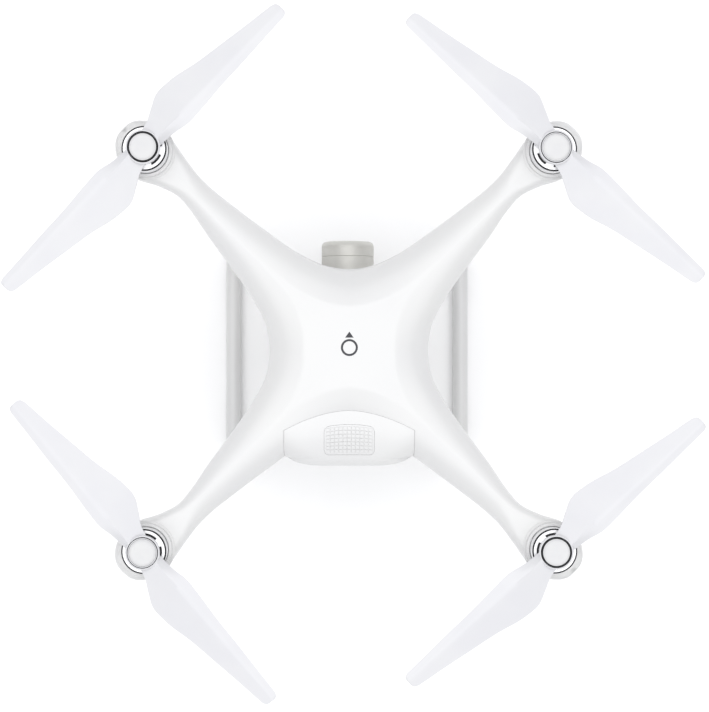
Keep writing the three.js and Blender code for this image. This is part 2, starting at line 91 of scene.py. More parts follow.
def add_light(name, place, size, power, colour=(1, 1, 1)):
    """A square softbox that faces the craft."""
    data = bpy.data.lights.new(name, "AREA")
    data.size = size
    data.energy = power
    data.color = colour
    light = bpy.data.objects.new(name, data)
    light.location = place
    light.rotation_mode = "QUATERNION"
    light.rotation_quaternion = Vector(place).to_track_quat("Z", "Y")
    bpy.context.scene.collection.objects.link(light)


# ---- materials


def linear(colour):
    """A hex sRGB colour as linear RGBA."""
    parts = [int(colour[i : i + 2], 16) / 255 for i in (1, 3, 5)]
    return [c / 12.92 if c <= 0.04045 else ((c + 0.055) / 1.055) ** 2.4 for c in parts] + [1.0]


def node(tree, kind, settings=None, values=None, links=None):
    """Adds a shader node with its properties, socket values and links from other outputs."""
    made = tree.nodes.new("ShaderNode" + kind)
    for name, value in (settings or {}).items():
        setattr(made, name, value)
    for socket, value in (values or {}).items():
        made.inputs[socket].default_value = value
    for socket, source in (links or {}).items():
        tree.links.new(source, made.inputs[socket])
    return made


def finish(name, pale, dark, patch, rough, grain, depth, **shader):
    """Starts a material: colour drifting between two tones over `patch` mm, roughness drifting
    within a range, and a surface grain of `grain` mm that stands `depth` mm."""
    material = bpy.data.materials.new(name)
    material.use_nodes = True
    tree = material.node_tree
    principled = tree.nodes["Principled BSDF"]
    for socket, value in shader.items():
        principled.inputs[socket.replace("_", " ").title().replace("Ior", "IOR")].default_value = value
    place = node(tree, "TexCoord").outputs["Object"]
    drift = node(tree, "TexNoise", values={"Scale": 1 / (patch * MM), "Detail": 3.0},
        links={"Vector": place})
    tone = node(tree, "ValToRGB", links={"Fac": drift.outputs["Fac"]})
    for element, colour, position in zip(tone.color_ramp.elements, (dark, pale), (0.35, 0.65)):
        element.position = position
        element.color = linear(colour)
    gloss = node(tree, "MapRange", values={"To Min": rough[0], "To Max": rough[1]},
        links={"Value": drift.outputs["Fac"]})
    texture = node(tree, "TexNoise", values={"Scale": 1 / (grain * MM), "Detail": 2.0},
        links={"Vector": place})
    relief = node(tree, "Bump", values={"Strength": 1.0, "Distance": depth * MM},
        links={"Height": texture.outputs["Fac"]})
    tree.links.new(tone.outputs["Color"], principled.inputs["Base Color"])
    tree.links.new(gloss.outputs["Result"], principled.inputs["Roughness"])
    tree.links.new(relief.outputs["Normal"], principled.inputs["Normal"])
    return material


def turned_rings(material, pitch, depth):
    """Adds the fine grooves that a lathe leaves, from the piece's own distance-from-axis value."""
    tree = material.node_tree
    radius = node(tree, "Attribute", settings={"attribute_name": "turning"}).outputs["Fac"]
    phase = node(tree, "Math", settings={"operation": "MULTIPLY"}, values={1: math.tau / pitch},
        links={0: radius})
    groove = node(tree, "Math", settings={"operation": "SINE"}, links={0: phase.outputs[0]})
    relief = node(tree, "Bump", values={"Strength": 1.0, "Distance": depth * MM}, links={
        "Height": groove.outputs[0], "Normal": tree.nodes["Bump"].outputs["Normal"]})
    tree.links.new(relief.outputs["Normal"], tree.nodes["Principled BSDF"].inputs["Normal"])
    return material


MATERIALS = {
    # Gloss injection-moulded ABS: a clean cool white with a wide soft sheen and a trace of
    # orange peel where the melt cooled.
    "shell": finish("moulded gloss white ABS", "#D7D7D6", "#D5D5D5", 60, (0.29, 0.36), 1.6, 0.005,
    ior=1.53),
    # Glass-filled nylon: a greyer, duller white than the shell, with a fine fibre grain.
    "propeller": finish("glass filled nylon", "#D2D2D4", "#CFCFD2", 25, (0.36, 0.46), 0.5, 0.006, ior=1.53),
    # The same nylon left uncoloured on the press caps: a shade greyer than the blades.
    "cap": finish("glass filled nylon cap", "#CECECE", "#CBCBCC", 6, (0.4, 0.5), 0.5, 0.006, ior=1.53),
    # Spark-eroded black ABS: fine even grain that breaks the highlight up.
    "dark_plastic": finish("eroded black ABS", "#2B2C2F", "#222326", 12, (0.45, 0.6), 0.35, 0.03, ior=1.53),
    # Turned aluminium with a clear anodised coat: bright, with fine lathe grooves.
    "motor_metal": turned_rings(finish(
        "turned clear anodised aluminium", "#F2F2F3", "#EAEAEC", 8, (0.3, 0.42), 0.3, 0.004,
        metallic=0.55), 0.45, 0.006),
    # Black anodised aluminium: near black with a satin sheen.
    "lock_black": finish("black anodised aluminium", "#1C1D20", "#131417", 5, (0.3, 0.42), 0.2, 0.004,
    metallic=0.6),
    # Satin nickel-grey anodised aluminium.
    "lock_silver": finish("grey anodised aluminium", "#A2A2A4", "#969698", 5, (0.3, 0.42), 0.2, 0.004,
    metallic=0.9),
    # Bead-blasted magnesium: a warm soft grey with no sharp highlight.
    "camera_grey": finish("bead blasted magnesium", "#D0CFCA", "#CAC9C4", 9, (0.42, 0.55), 0.25, 0.02,
    metallic=0.35),
    # Coated optical glass over a black barrel: nearly black, with the coating's bluish glint painted into
    # the base colour as a blue tint.
    "lens_glass": finish("coated optical glass", "#0B0D18", "#05060C", 4, (0.03, 0.06), 6, 0.001, ior=1.6,
    coat_weight=1.0),
    # Moulded silicone rubber: dull charcoal with a fine rough grain.
    "rubber": finish("moulded silicone rubber", "#3D3D40", "#323235", 7, (0.75, 0.9), 0.4, 0.03, ior=1.43),
    # Glass-epoxy board under green solder mask.
    "board": finish("solder masked circuit board", "#1F5238", "#17402B", 3, (0.35, 0.5), 0.8, 0.02,
    ior=1.5),
    # Heat-shrunk film round the cells: smooth with faint ripples.
    "cell_wrap": finish("heat shrunk cell wrap", "#3B4C69", "#2E3C55", 15, (0.3, 0.5), 3, 0.08, ior=1.5),
    # Machined aluminium: mid grey with a fine even grain.
    "core_metal": finish("machined aluminium", "#A4A6A9", "#93959A", 6, (0.32, 0.5), 0.3, 0.01,
    metallic=1.0),
    # Tinted clear polycarbonate over a light-emitting diode.
    "red_light": finish("red tinted polycarbonate", "#D8403C", "#C53430", 3, (0.12, 0.2), 1.2, 0.02,
    ior=1.58),
    "green_light": finish("green tinted polycarbonate", "#5FCB7E", "#4DB96C", 3, (0.12, 0.2), 1.2, 0.02,
    ior=1.58),
    # Enamelled copper wire: orange-brown, satin, with fine strands of relief.
    "winding": finish("enamelled copper wire", "#B4693A", "#97522A", 2, (0.29, 0.4), 0.35, 0.06,
    metallic=0.8),
    # Pad-printed ink: flat charcoal with a slightly uneven film.
    "print": finish("pad printed charcoal ink", "#33343A", "#2B2C31", 3, (0.45, 0.6), 0.3, 0.004),
    # Blackened steel screws.
    "screw": finish("blackened steel", "#3A3B3E", "#2C2D30", 1, (0.3, 0.5), 0.2, 0.01, metallic=0.9),
}


# ---- shaping tools


def outward(bm):
    """Turns every face to the outside."""
    bmesh.ops.recalc_face_normals(bm, faces=bm.faces)


def cubic(points, first, last):
    """A smooth curve through 3-D points as a function of the point's number. `first` and `last`
    are the directions at its ends."""
    reach = [max((b - a).length, 1e-6) for a, b in zip(points, points[1:])]
    heading = [first.normalized()]
    for a, b, c, back, on in zip(points, points[1:], points[2:], reach, reach[1:]):
        heading.append(((b - a) / back * on + (c - b) / on * back) / (back + on))
    heading.append(last.normalized())

    def at(number):
        n = min(int(number), len(points) - 2)
        t = number - n
        third = reach[n] / 3
        p = [points[n], points[n] + heading[n] * third, points[n + 1] - heading[n + 1] * third,
            points[n + 1]]
        while len(p) > 1:
            p = [a.lerp(b, t) for a, b in zip(p, p[1:])]
        return p[0]

    return at


def between(values, number):
    """The value at a fractional position in a list, held at the last one past its end."""
    n = min(int(number), len(values) - 1)
    after = values[min(n + 1, len(values) - 1)]
    return values[n] + (after - values[n]) * min(number - n, 1)


def lathe(section, at=(0, 0), axis="Z", steps=72, level=0):
    """A turned solid from (radius, height) pairs. The axis passes through `at`: the two
    coordinates that are not along it, in x, y, z order."""
    bm = bmesh.new()
    verts = [bm.verts.new((r, 0, h + level)) for r, h in section]
    edges = [bm.edges.new(pair) for pair in zip(verts, verts[1:])]
    if section[0][0] > 0:
        edges.append(bm.edges.new((verts[-1], verts[0])))
    bmesh.ops.spin(bm, geom=verts + edges, axis=(0, 0, 1), cent=(0, 0, 0), angle=math.tau, steps=steps,
        use_merge=True)
    bmesh.ops.remove_doubles(bm, verts=bm.verts, dist=1e-4)
    turn = {"Z": Matrix.Identity(3), "Y": Matrix.Rotation(-math.pi / 2, 3, "X"),
        "X": Matrix.Rotation(math.pi / 2, 3, "Y")}
    bmesh.ops.rotate(bm, verts=bm.verts, cent=(0, 0, 0), matrix=turn[axis])
    place = {"Z": (at[0], at[1], 0), "Y": (at[0], 0, at[1]), "X": (0, at[0], at[1])}
    bmesh.ops.translate(bm, verts=bm.verts, vec=place[axis])
    outward(bm)
    return bm


def slab(outline, low, high):
    """A flat plate from its plan outline."""
    bm = bmesh.new()
    face = bm.faces.new([bm.verts.new((x, y, low)) for x, y in outline])
    grown = bmesh.ops.extrude_face_region(bm, geom=[face])["geom"]
    top = [v for v in grown if isinstance(v, bmesh.types.BMVert)]
    bmesh.ops.translate(bm, verts=top, vec=(0, 0, high - low))
    outward(bm)
    return bm


def rounded_outline(centre, size, radius, steps=6):
    """Plan points of a rectangle with round corners."""
    points = []
    for quarter, (sx, sy) in enumerate(((1, 1), (-1, 1), (-1, -1), (1, -1))):
        cx = centre[0] + sx * (size[0] / 2 - radius)
        cy = centre[1] + sy * (size[1] / 2 - radius)
        for n in range(steps + 1):
            angle = (quarter + n / steps) * math.pi / 2
            points.append((cx + radius * math.cos(angle), cy + radius * math.sin(angle)))
    return points


def block(low, high):
    bm = bmesh.new()
    bmesh.ops.create_cube(bm, size=1)
    bmesh.ops.scale(bm, verts=bm.verts, vec=[h - l for l, h in zip(low, high)])
    bmesh.ops.translate(bm, verts=bm.verts, vec=[(h + l) / 2 for l, h in zip(low, high)])
    return bm


def from_cad(name):
    """A merged copy of a CAD node, in millimetres, with its flat faces whole again."""
    bm = bmesh.new()
    bm.from_mesh(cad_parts[name].data)
    bmesh.ops.scale(bm, verts=bm.verts, vec=(1 / MM,) * 3)
    bmesh.ops.remove_doubles(bm, verts=bm.verts, dist=1e-3)
    bmesh.ops.dissolve_limit(bm, angle_limit=math.radians(1), verts=bm.verts, edges=bm.edges)
    return bm


def soften(bm, width, segments=3, angle=40):
    """Rounds every edge that turns more than `angle` degrees."""
    sharp = [e for e in bm.edges if e.is_manifold and e.calc_face_angle() > math.radians(angle)]
    bmesh.ops.bevel(bm, geom=sharp, offset=width, affect="EDGES", segments=segments, profile=0.5,
                    material=-1, clamp_overlap=True)
    return bm


def together(*parts):
    """Several solids as one mesh."""
    whole = parts[0]
    for part in parts[1:]:
        mesh = bpy.data.meshes.new("part")
        part.to_mesh(mesh)
        part.free()
        whole.from_mesh(mesh)
        bpy.data.meshes.remove(mesh)
    return whole


def spread_round(bm, count, centre, axis=(0, 0, 1)):
    """Repeats a solid evenly about an axis."""
    bmesh.ops.spin(bm, geom=bm.verts[:] + bm.edges[:] + bm.faces[:], axis=axis, cent=centre,
                   angle=math.tau * (count - 1) / count, steps=count - 1, use_duplicate=True)
    return bm


def loose_object(bm):
    mesh = bpy.data.meshes.new("loose")
    bm.to_mesh(mesh)
    bm.free()
    made = bpy.data.objects.new("loose", mesh)
    bpy.context.scene.collection.objects.link(made)
    return made


def worked(bm, *steps):
    """Runs modifiers over a solid. A step is a modifier's kind and settings; a Boolean's
    `object` is the other solid."""
    base = loose_object(bm)
    others = []
    for kind, settings in steps:
        modifier = base.modifiers.new(kind, kind)
        for key, value in settings.items():
            if key == "object":
                value = loose_object(value)
                others.append(value)
            setattr(modifier, key, value)
    made = bmesh.new()
    made.from_object(base, bpy.context.evaluated_depsgraph_get())
    for extra in [base, *others]:
        mesh = extra.data
        bpy.data.objects.remove(extra)
        bpy.data.meshes.remove(mesh)
    return made


def cut(cutter):
    return "BOOLEAN", {"operation": "DIFFERENCE", "solver": "EXACT", "object": cutter}


def add(part):
    return "BOOLEAN", {"operation": "UNION", "solver": "EXACT", "object": part}


def piece(name, bm, finish_name, body=AIRFRAME, stands_for=(), crease=32, axis=None):
    """Finishes a piece: metres, smooth faces with sharp creases, material and body, and hides the CAD parts
    it stands for. `axis` is the plan point that a turned piece's lathe grooves run round."""
    bmesh.ops.remove_doubles(bm, verts=bm.verts, dist=1e-3)
    if axis:
        layer = bm.verts.layers.float.new("turning")
        for vert in bm.verts:
            vert[layer] = (vert.co.xy - Vector(axis)).length
    bmesh.ops.scale(bm, verts=bm.verts, vec=(MM,) * 3)
    limit = math.radians(crease)
    for face in bm.faces:
        face.smooth = True
    for edge in bm.edges:
        edge.smooth = not (edge.is_manifold and edge.calc_face_angle() > limit)
    mesh = bpy.data.meshes.new(name)
    bm.to_mesh(mesh)
    bm.free()
    mesh.materials.append(MATERIALS[finish_name])
    made = bpy.data.objects.new(name, mesh)
    bpy.context.scene.collection.objects.link(made)
    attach(made, body)
    if stands_for:
        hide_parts(*([stands_for] if isinstance(stands_for, str) else stands_for))
    return made


# ---- shell

# Stations along one arm, from the body's centre to the arm's tip: distances along the motor
# line of the outline and of the crown line, the outline's distances from that line on the nose
# or tail side and on the flank, and the heights of the crown, the seam and the keel.
STATIONS = [
    (35.0, 0.0, 36.4, 35.6, 175.0, 140.0, 99.0),
    (48.0, 22.0, 27.3, 25.3, 174.6, 140.5, 100.0),
    (64.0, 48.0, 21.6, 19.7, 172.5, 142.0, 110.0),
    (88.0, 80.0, 17.4, 14.8, 169.8, 145.0, 125.0),
    (113.0, 110.0, 14.0, 10.7, 167.8, 148.5, 135.0),
    (134.0, 133.0, 11.9, 6.6, 166.6, 151.5, 141.0),
    (142.0, 142.0, 11.9, 6.0, 166.4, 152.5, 142.5),
    (156.0, 156.0, 13.9, 10.0, 166.2, 154.0, 144.0),
    (169.0, 167.0, 16.4, 16.4, 166.0, 155.0, 145.0),
    (178.0, 176.0, 17.8, 17.8, 166.0, 155.5, 145.5),
    (187.5, 185.5, 15.0, 15.0, 166.0, 156.0, 147.0),
    (194.0, 192.0, 9.0, 9.0, 165.5, 156.5, 150.0),
    (196.7, 196.7, 0.0, 0.0, 157.7, 157.5, 157.1),
]
LAST = len(STATIONS) - 1
SHELL_WALL = 2.2
SEAM_GAP = 0.15
NOSE_LIP = 0.8  # how far the lower half stands out under the nose
MOTOR = middle("motor_bell_rear_left").xy
ARM_WAY = MOTOR.normalized()

# How square the shell's shoulder is at each station, above and below the seam.
TOP_SHOULDER = [9, 8, 5.5, 3.6, 2.8, 2.6, 3.2, 7, 12]
BELLY_SHOULDER = [5, 4.5, 3.6, 2.8, 2.5, 2.4, 3, 5, 8]
# Each crease's share of the way from the crown line to the outline, and the depth in
# millimetres of the facet outside it, at each station.
CREASES = {
    "nose": ([0.53, 0.37, 0.17, 0.04, 0.0], [8.0, 7.8, 6.3, 4.0, 2.5, 1.6, 0.8, 0.0]),
    "tail": ([0.45, 0.27, 0.06, 0.0], [9.5, 8.5, 6.0, 4.0, 2.5, 1.6, 0.8, 0.0]),
    "flank": ([0.56, 0.37, 0.09, 0.0], [7.0, 7.0, 6.0, 4.0, 2.5, 1.6, 0.8, 0.0]),
}
CREASE_SOFTNESS = 0.025


def plan(along, off):
    """Plan point in the quarter with x and y positive, along and off the motor line."""
    return Vector((along * ARM_WAY.x - off * ARM_WAY.y, along * ARM_WAY.y + off * ARM_WAY.x))


def shell_lines():
    """The outline on both sides of an arm, the crown line and the keel line."""
    fore = [Vector((*plan(edge, off), seam)) for edge, _, off, _, _, seam, _ in STATIONS]
    flank = [Vector((*plan(edge, -off), seam)) for edge, _, _, off, _, seam, _ in STATIONS]
    fore[0].x = 0
    flank[0].y = 0
    crown = [Vector((*plan(ridge, 0), high)) for _, ridge, _, _, high, _, _ in STATIONS]
    keel = [Vector((*plan(ridge, 0), low)) for _, ridge, _, _, _, _, low in STATIONS]
    outward = Vector((*plan(1, 0), 0))
    across = Vector((*plan(0, 1), 0))
    return {
        "fore": cubic(fore, Vector((1, 0, 0)), -across),
        "flank": cubic(flank, Vector((0, 1, 0)), across),
        "crown": cubic(crown, outward, outward * 0.6 - Vector((0, 0, 1))),
        "keel": cubic(keel, outward, outward * 0.6 + Vector((0, 0, 1))),
    }


LINES = shell_lines()


def skin_point(a, b, top):
    """The shell's outer skin over a square of a and b from -1 to 1, whose corners are the arms'
    tips and whose edges are the outline."""
    near, far = sorted((abs(a), abs(b)))
    station = near * LAST
    share = math.sin(math.pi / 2 * (far - near) / (1 - near)) if near < 1 else 0
    flank = abs(a) > abs(b)
    rim = LINES["flank" if flank else "fore"](station)
    ridge = LINES["crown" if top else "keel"](station)
    shoulder = between(TOP_SHOULDER if top else BELLY_SHOULDER, station)
    root = between([1.5, 1.6, 1.7, 1.8, 2], station)
    height = ridge.z - rim.z
    if top:
        side = "flank" if flank else ("nose" if b < 0 else "tail")
        crease, depth = CREASES[side]
        start = between(crease, station)
        past = (share - start) / (1 - start)
        ramp = (past + math.hypot(past, CREASE_SOFTNESS)) / 2
        height -= between(depth, station) * ramp
    full = max(1 - share**shoulder, 0) ** (1 / root)
    seam = rim.z + (SEAM_GAP if top else -SEAM_GAP)
    where = ridge.xy.lerp(rim.xy, share)
    if not top and b < 0:
        where.y += NOSE_LIP * share**6 * max(1 - station / 3, 0)
    return Vector((math.copysign(where.x, a), math.copysign(where.y, b), seam + height * full))


def skin(top, cells=144):
    """One half of the shell as an open skin, faces outwards."""
    bm = bmesh.new()
    bmesh.ops.create_grid(bm, x_segments=cells, y_segments=cells, size=1)
    for vert in bm.verts:
        vert.co = skin_point(vert.co.x, vert.co.y, top)
    bmesh.ops.remove_doubles(bm, verts=bm.verts, dist=1e-3)
    if not top:
        bmesh.ops.reverse_faces(bm, faces=bm.faces)
    return bm


WALL = ("SOLIDIFY", {"thickness": SHELL_WALL, "offset": -1, "use_rim": True})

UPPER_SKIN = BVHTree.FromBMesh(skin(True))


def shell_height(x, y):
    """Height of the upper shell over a plan point, or of its seam outside the outline."""
    hit = UPPER_SKIN.ray_cast(Vector((x, y, 300)), Vector((0, 0, -1)))[0]
    return hit.z if hit else STATIONS[2][5]


# The battery's exposed end, seen from above: a lens shape between an arc and a flat rear.
CASE_LOW, CASE_HIGH = extent("battery_case")
CAP = {"half": CASE_HIGH.x, "front": 37.2, "shoulder": 49.5, "rear": CASE_HIGH.y, "turn": 65.5,
       "low": CASE_LOW.z, "high": CASE_HIGH.z, "gap": 0.06, "fall": 12.5}


def cap_front(x):
    return CAP["front"] + (CAP["shoulder"] - CAP["front"]) * min(abs(x) / CAP["half"], 1) ** 1.8


def cap_rear(x):
    return CAP["rear"] - (CAP["rear"] - CAP["turn"]) * min(abs(x) / CAP["half"], 1) ** 5


def cap_room(low, high, steps=24):
    """The opening in the shell for the battery's end, open to the rear."""
    half = CAP["half"] + CAP["gap"]
    arc = [half * (n / steps * 2 - 1) for n in range(steps + 1)]
    outline = [(x, cap_front(x) - CAP["gap"]) for x in arc] + [(half, CAP["rear"] + 20),
        (-half, CAP["rear"] + 20)]
    return slab(outline[::-1], low, high)


COLLAR = {"inner": 14.05, "outer": 16.0, "high": 170.5, "foot": 17.6, "pod": 166.0}


def collar(at):
    """The ring wall round a motor's foot, with a stepped foot that runs into the arm."""
    c = COLLAR
    return lathe([
        (c["inner"], c["pod"] - 3), (c["foot"], c["pod"] - 3), (c["foot"], c["pod"] + 0.5),
        (c["foot"] - 0.2, c["pod"] + 0.7),
        (c["outer"] + 0.2, c["pod"] + 0.7), (c["outer"], c["pod"] + 0.9), (c["outer"], c["high"] - 0.3),
        (c["outer"] - 0.3, c["high"]), (c["inner"] + 0.2, c["high"]), (c["inner"], c["high"] - 0.2),
    ], at=at)


def add_shells():
    top = [WALL]
    top += [add(collar((x * MOTOR.x, y * MOTOR.y))) for _, x, y in CORNERS]
    top.append(cut(cap_room(CAP["low"], CAP["high"] + 20)))
    piece("top_shell_moulding", worked(skin(True), *top), "shell", stands_for="top_shell", crease=38)
    bottom = [WALL, cut(cap_room(CAP["low"] - 0.8, CAP["high"]))]
    for side, _ in SIDES:
        low, high = extent(f"front_vision_lens_{side}")
        at = ((low.x + high.x) / 2, (low.z + high.z) / 2)
        r = (high.x - low.x) / 2 + 0.3
        bottom.append(cut(lathe([(0, low.y - 12), (r, low.y - 12), (r, high.y), (0, high.y)], at=at,
            axis="Y")))
    for corner, x, y in CORNERS:
        low, high = extent(f"arm_light_{corner}")
        r = (high.x - low.x) / 2 + 0.3
        bottom.append(cut(lathe([(0, low.z - 9), (r, low.z - 9), (r, high.z + 4), (0, high.z + 4)],
                                at=(x * MOTOR.x, y * MOTOR.y))))
    piece("bottom_shell_moulding", worked(skin(False), *bottom), "shell", stands_for="bottom_shell",
        crease=38)


# ---- battery


def case_top(x, y):
    """Height of the battery's exposed top: flush with the shell along the arc and at both
    sides, and falling to the rear in between."""
    half = CAP["half"]
    front = cap_front(x)
    crest = shell_height(x, front - 1) - 0.3
    dome = crest - CAP["fall"] * ((y - front) / (CAP["rear"] - CAP["front"])) ** 2
    beside = shell_height(math.copysign(half + 0.6, x), y) - 0.3
    side = (abs(x) / half) ** 5
    lip = 2.6 * max(1 - (cap_rear(x) - y) / 4, 0) ** 2
    return dome * (1 - side) + min(beside, dome + 2) * side - lip


def case_bottom(x, y):
    """Height of the exposed end's underside: level, rising at the sides and rear."""
    side = max(abs(x) - 24, 0) / (CAP["half"] - 24)
    rear = max(y - 56, 0) / (CAP["rear"] - 56)
    return CAP["low"] + 5 * side**2.2 + 5 * rear**2.2


def case_end(cuts=48, radius=0.35):
    """The exposed end: a cube whose faces bend to the lens outline and the falling top."""
    bm = bmesh.new()
    bmesh.ops.create_cube(bm, size=2)
    bmesh.ops.subdivide_edges(bm, edges=bm.edges, cuts=cuts, use_grid_fill=True)
    half = Vector((CAP["half"], 18, 24))
    for vert in bm.verts:
        even = Vector([math.sin(c * math.pi / 2) * h for c, h in zip(vert.co, half)])
        core = Vector([max(min(c, h - radius), radius - h) for c, h in zip(even, half)])
        out = even - core
        spot = core + out.normalized() * radius if out.length > 1e-6 else even
        share = (spot.y / half.y + 1) / 2
        x = spot.x
        y = cap_front(x) * (1 - share) + cap_rear(x) * share
        level = (spot.z / half.z + 1) / 2
        vert.co = (x, y, case_bottom(x, y) * (1 - level) + case_top(x, y) * level)
    return bm


def add_battery():
    low, _ = extent("battery_case")
    cells_low, cells_high = extent("battery_cells")
    core = soften(block((cells_low.x - 2.5, low.y, cells_low.z - 2.5),
        (cells_high.x + 2.5, 52, cells_high.z + 2.5)), 2.5, 4)
    hollow = block((cells_low.x - 0.5, low.y + 1.6, cells_low.z - 0.5),
        (cells_high.x + 0.5, 41, cells_high.z + 0.5))
    mouth = block((-10, low.y - 1, 131), (10, low.y + 3, 142))
    steps = [add(core), cut(hollow), cut(mouth)]
    for tag in ("top", "bottom"):
        pad_low, pad_high = extent(f"battery_latch_{tag}")
        centre = ((pad_low.x + pad_high.x) / 2, (pad_low.y + pad_high.y) / 2)
        size = (pad_high.x - pad_low.x + 0.16, pad_high.y - pad_low.y + 0.16)
        reach = (CAP["high"] - 10, CAP["high"] + 9) if tag == "top" else (CAP["low"] - 2, CAP["low"] + 5.5)
        steps.append(cut(slab(pad_outline(centre, size, 3.1), *reach)))
    ring_low, ring_high = extent("charge_light_ring")
    at = ((ring_low.x + ring_high.x) / 2, (ring_low.z + ring_high.z) / 2)
    r = (ring_high.x - ring_low.x) / 2 + 0.2
    button_low, button_high = extent("battery_button")
    bore = (button_high.x - button_low.x) / 2 + 0.25
    steps.append(cut(lathe([
        (0, button_low.y - 1.5), (bore, button_low.y - 1.5), (bore, ring_low.y - 0.1),
        (r, ring_low.y - 0.1),
        (r, CAP["rear"] + 2), (0, CAP["rear"] + 2)], at=at, axis="Y")))
    piece("battery_casing", worked(case_end(), *steps), "shell", "battery", "battery_case")

    tall = button_high.y
    piece("battery_power_button", lathe([
        (0, button_low.y), (bore - 0.25, button_low.y), (bore - 0.25, tall - 0.4), (bore - 0.65, tall),
        (bore - 1.5, tall), (bore - 1.9, tall - 0.4), (0, tall - 0.6)], at=at, axis="Y"),
        "core_metal", "power_button", "battery_button")
    inner = (ring_high.x - ring_low.x) / 2 - 2.4
    piece("charge_ring", lathe([
        (inner, ring_low.y), (r - 0.2, ring_low.y), (r - 0.2, ring_high.y - 0.2), (r - 0.4, ring_high.y),
        (inner + 0.2, ring_high.y), (inner, ring_high.y - 0.2)], at=at, axis="Y"),
        "green_light", "battery", "charge_light_ring")
    piece("battery_cell_pack", cell_pack(cells_low, cells_high), "cell_wrap", "battery", "battery_cells")


def cell_pack(low, high, count=4):
    """Flat pouch cells on edge, side by side."""
    width = (high.x - low.x) / count
    parts = []
    for n in range(count):
        left = low.x + n * width
        parts.append(soften(block((left + 0.3, low.y, low.z), (left + width - 0.3, high.y, high.z)), 2, 4))
    return together(*parts)


PAD_BOW = 1.7  # how far a latch pad's front edge is bowed, like the battery's arc


def bowed(x, y, centre, size):
    """Moves a plan point of a latch pad so that the pad's front edge follows the arc."""
    rear = centre[1] + size[1] / 2
    return y + PAD_BOW * (2 * (x - centre[0]) / size[0]) ** 2 * (rear - y) / size[1]


def pad_outline(centre, size, radius):
    """A latch pad's outline, with enough points along its front to bow it."""
    outline = []
    corners = rounded_outline(centre, size, radius)
    for start, end in zip(corners, corners[1:] + corners[:1]):
        count = 12 if abs(start[0] - end[0]) > radius * 2 else 1
        for n in range(count):
            x = start[0] + (end[0] - start[0]) * n / count
            y = start[1] + (end[1] - start[1]) * n / count
            outline.append((x, bowed(x, y, centre, size)))
    return outline


def pad_block(centre, size, low, high, radius=3, cuts=23):
    """A latch pad: a cube whose plan is rounded at its corners."""
    bm = bmesh.new()
    bmesh.ops.create_cube(bm, size=2)
    bmesh.ops.subdivide_edges(bm, edges=bm.edges, cuts=cuts, use_grid_fill=True)
    half = Vector(size) / 2
    for vert in bm.verts:
        even = Vector([math.sin(c * math.pi / 2) * h for c, h in zip(vert.co.xy, half)])
        core = Vector([max(min(c, h - radius), radius - h) for c, h in zip(even, half)])
        out = even - core
        spot = core + out * (max(abs(out.x), abs(out.y)) / out.length if out.length > 1e-6 else 1)
        x, y = spot.x + centre[0], spot.y + centre[1]
        vert.co = (x, bowed(x, y, centre, size), low if vert.co.z < 0 else high)
    return bm


def add_latches(columns=11, rows=7):
    """The two press pads, each under a grid of small raised squares."""
    for tag, way, surface in (("top", 1, case_top), ("bottom", -1, case_bottom)):
        low, high = extent(f"battery_latch_{tag}")
        centre = ((low.x + high.x) / 2, (low.y + high.y) / 2)
        size = (high.x - low.x, high.y - low.y)
        base = pad_block(centre, size, low.z, high.z)
        outward(base)
        for vert in base.verts:
            rim = any(abs(f.normal.z) < 0.5 for f in vert.link_faces)
            outer = (vert.co.z - (low.z + high.z) / 2) * way > 0
            depth = (0.2 if rim else 0.05) if outer else 2
            vert.co.z = surface(vert.co.x, vert.co.y) - way * depth
        grid = bmesh.new()
        bmesh.ops.create_grid(grid, x_segments=columns, y_segments=rows, size=1)
        bmesh.ops.scale(grid, verts=grid.verts, vec=(size[0] / 2 - 1.1, size[1] / 2 - 1.1, 1))
        rims = set(bmesh.ops.inset_individual(grid, faces=grid.faces[:], thickness=0.33, depth=0)["faces"])
        squares = [f for f in grid.faces if f not in rims]
        bmesh.ops.delete(grid, geom=list(rims), context="FACES")
        raised = bmesh.ops.extrude_face_region(grid, geom=squares)["geom"]
        tops = [v for v in raised if isinstance(v, bmesh.types.BMVert)]
        bmesh.ops.translate(grid, verts=tops, vec=(0, 0, way * 0.7))
        for vert in grid.verts:
            x = vert.co.x + centre[0]
            y = bowed(x, vert.co.y + centre[1], centre, size)
            vert.co = (x, y, vert.co.z + surface(x, y) - way * 0.3)
        outward(grid)
        piece(f"latch_pad_{tag}", together(base, grid), "shell", f"latch_{tag}", f"battery_latch_{tag}")


# ---- motors and propellers

# Stations along one blade: distance from the hub's axis, trailing edge, leading edge, thickness.
BLADE = [
    (0, 8, -6.5, 5), (12, 9, -6.8, 4.6), (20, 13, -7.7, 3.8), (29, 17.2, -9.7, 3.2), (40, 17, -9.6, 2.8),
    (60, 12.5, -8.4, 2.4), (80, 9.1, -8, 2), (100, 5.8, -7.3, 1.6), (113, 3.9, -6.9, 1.3),
    (116.5, 3.2, -6.7, 1.2),
    (118.5, 2, -5.8, 1.1), (119.2, 0, -4, 1),
]
CREST = -3.0  # chord position of the ridge along each blade
BLADE_LEVEL = 190.5

# Resting angle of each propeller, its hand, and the resting angle of the bell's windows.
HANDS = {"front_left": (46.4, 1, 137), "front_right": (137.3, -1, 37), "rear_left": (130, -1, 31),
         "rear_right": (42.5, 1, 136)}



def blade_line(column):
    points = [Vector((row[0], row[column], 0)) for row in BLADE]
    return cubic(points, points[1] - points[0], points[-1] - points[-2])


BLADE_LINES = [blade_line(column) for column in (1, 2, 3)]


